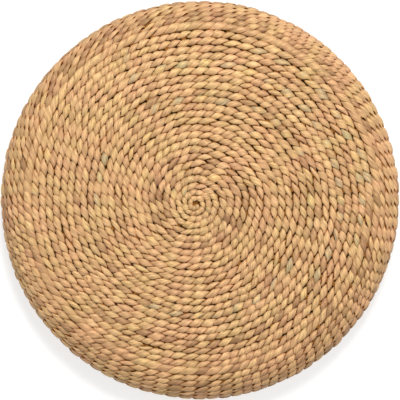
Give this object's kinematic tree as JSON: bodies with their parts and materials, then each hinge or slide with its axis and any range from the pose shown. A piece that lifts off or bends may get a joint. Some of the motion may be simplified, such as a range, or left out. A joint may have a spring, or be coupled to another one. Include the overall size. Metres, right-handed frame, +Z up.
{
  "type": "chair seat pad",
  "caption": "Round stuffed seat pad with a closed cover of dried leaf, twined in a spiral over radial stakes, flat on top and below with a rounded rim.",
  "frame": {"origin": "the middle of the base, on the surface that the pad rests on", "axes": "+Z up through the middle of the pad; +X and +Y in the plane of the base, with +Y away from the sitter when the pad is seen as in a plan view"},
  "size_m": [0.4, 0.4, 0.052],
  "materials": {
    "leaf_weft": "dried leaf twisted into strand, satin, straw and tan with brown and green-grey strands",
    "leaf_stake": "flat dried leaf, dull, in the shade of the weave",
    "lining_cotton": "unbleached plain-weave cotton, matt",
    "foam": "open-cell foam, matt"
  },
  "bodies": {
    "root": {"top_centre_knot": "leaf_weft", "top_weft_start": "leaf_weft", "top_weft_inner": "leaf_weft", "top_weft_middle": "leaf_weft", "top_weft_outer": "leaf_weft", "shoulder_wale": "leaf_weft", "side_weft": "leaf_weft", "foot_wale": "leaf_weft", "base_weft_outer": "leaf_weft", "base_weft_middle": "leaf_weft", "base_weft_inner": "leaf_weft", "base_weft_start": "leaf_weft", "base_closing_knot": "leaf_weft", "stake_bundle_01": "leaf_stake", "stake_bundle_02": "leaf_stake", "stake_bundle_03": "leaf_stake", "stake_bundle_04": "leaf_stake", "stake_bundle_05": "leaf_stake", "stake_bundle_06": "leaf_stake", "stake_bundle_07": "leaf_stake", "stake_bundle_08": "leaf_stake", "stake_bundle_09": "leaf_stake", "stake_bundle_10": "leaf_stake", "stake_bundle_11": "leaf_stake", "stake_bundle_12": "leaf_stake", "stake_bundle_13": "leaf_stake", "stake_bundle_14": "leaf_stake", "stake_bundle_15": "leaf_stake", "stake_bundle_16": "leaf_stake", "stake_bundle_17": "leaf_stake", "stake_bundle_18": "leaf_stake", "stake_bundle_19": "leaf_stake", "stake_bundle_20": "leaf_stake", "lining_top": "lining_cotton", "lining_base": "lining_cotton", "foam_core": "foam"}
  },
  "joints": []
}
